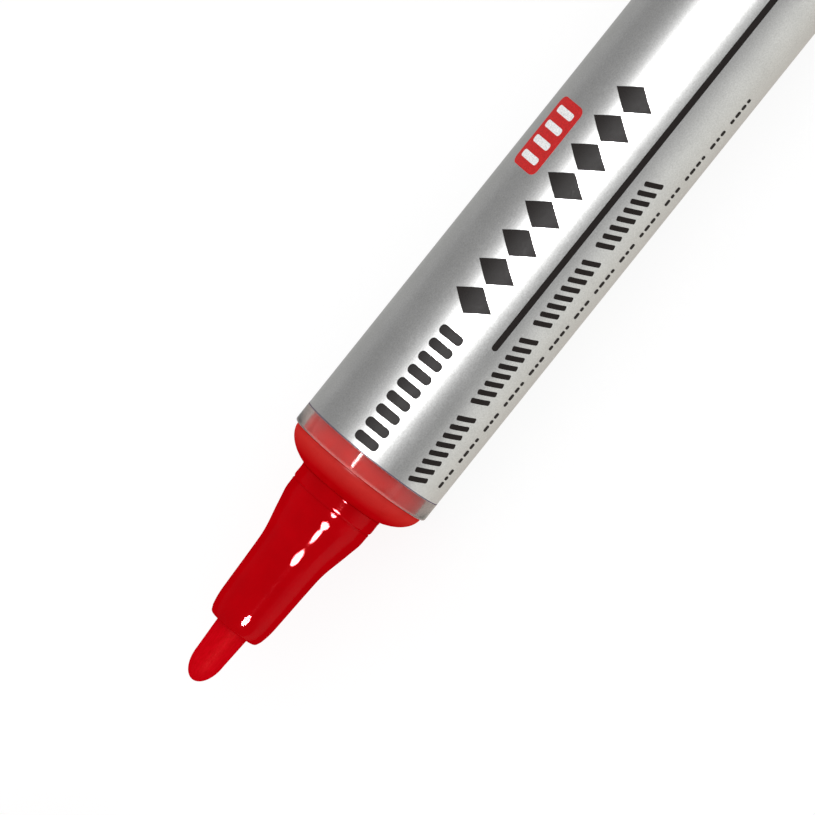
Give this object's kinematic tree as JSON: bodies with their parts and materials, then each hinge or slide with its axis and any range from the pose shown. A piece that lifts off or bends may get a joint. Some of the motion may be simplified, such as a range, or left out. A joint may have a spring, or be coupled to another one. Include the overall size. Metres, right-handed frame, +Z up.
{
  "type": "whiteboard marker",
  "caption": "Pump-action whiteboard marker with a clear labelled barrel, bullet nib, rear push button and a pull-off cap lying in line ahead of the nib.",
  "frame": {"origin": "bottom centre of the box round the marker and its cap as they lie in line on the ground; the common axis is 8.85 mm above it", "axes": "+X along the common axis from the cap and nib towards the pump button, +Z up, +Y completes the right-handed frame"},
  "size_m": [0.1996, 0.0176, 0.0177],
  "materials": {
    "inked_felt": "fine porous bonded fibre soaked in red ink",
    "inked_foam": "open-cell foam soaked in red ink",
    "red_gloss_plastic": "glossy moulded red",
    "shoulder_red_plastic": "semi-gloss moulded red, slightly paler than the nozzle",
    "clear_plastic": "clear glossy",
    "silver_label_film": null,
    "natural_plastic": "natural off-white, satin",
    "black_rubber": "matt",
    "grey_silicone": "soft satin",
    "spring_steel": "drawn wire"
  },
  "bodies": {
    "barrel": {"nib": "inked_felt", "nozzle": "red_gloss_plastic", "shoulder_plug": "shoulder_red_plastic", "front_seal_ring": "black_rubber", "relay_wick": "inked_felt", "ink_absorber": "inked_foam", "feed_sleeve": "natural_plastic", "valve_seat": "grey_silicone", "valve_spring": "spring_steel", "barrel_tube": "clear_plastic", "label_film": "silver_label_film", "tail_plug": "red_gloss_plastic", "tail_seal_ring": "black_rubber", "retaining_collar": "red_gloss_plastic", "pump_bellows": "grey_silicone", "pump_spring": "spring_steel", "check_valve": "black_rubber"},
    "button": {"pump_button": "red_gloss_plastic"},
    "poppet": {"valve_poppet": "natural_plastic"},
    "cap": {"cap_shell": "red_gloss_plastic", "cap_liner": "natural_plastic", "cap_end_plug": "red_gloss_plastic"}
  },
  "joints": [
    {"name": "cap_slide", "type": "slide", "parent": "barrel", "child": "cap", "axis": [1, 0, 0], "range_m": [0, 0.0566]},
    {"name": "pump_press", "type": "slide", "parent": "barrel", "child": "button", "axis": [-1, 0, 0], "range_m": [0, 0.004], "stiffness_N_per_m": 1200, "springref_m": -0.002, "deforming": ["pump_spring", "pump_bellows"]},
    {"name": "valve_lift", "type": "slide", "parent": "barrel", "child": "poppet", "axis": [-1, 0, 0], "range_m": [0, 0.001], "deforming": ["valve_spring"]}
  ],
  "couplings": [
    {"joint": "valve_lift", "follows": "pump_press", "ratio": 0.25}
  ]
}
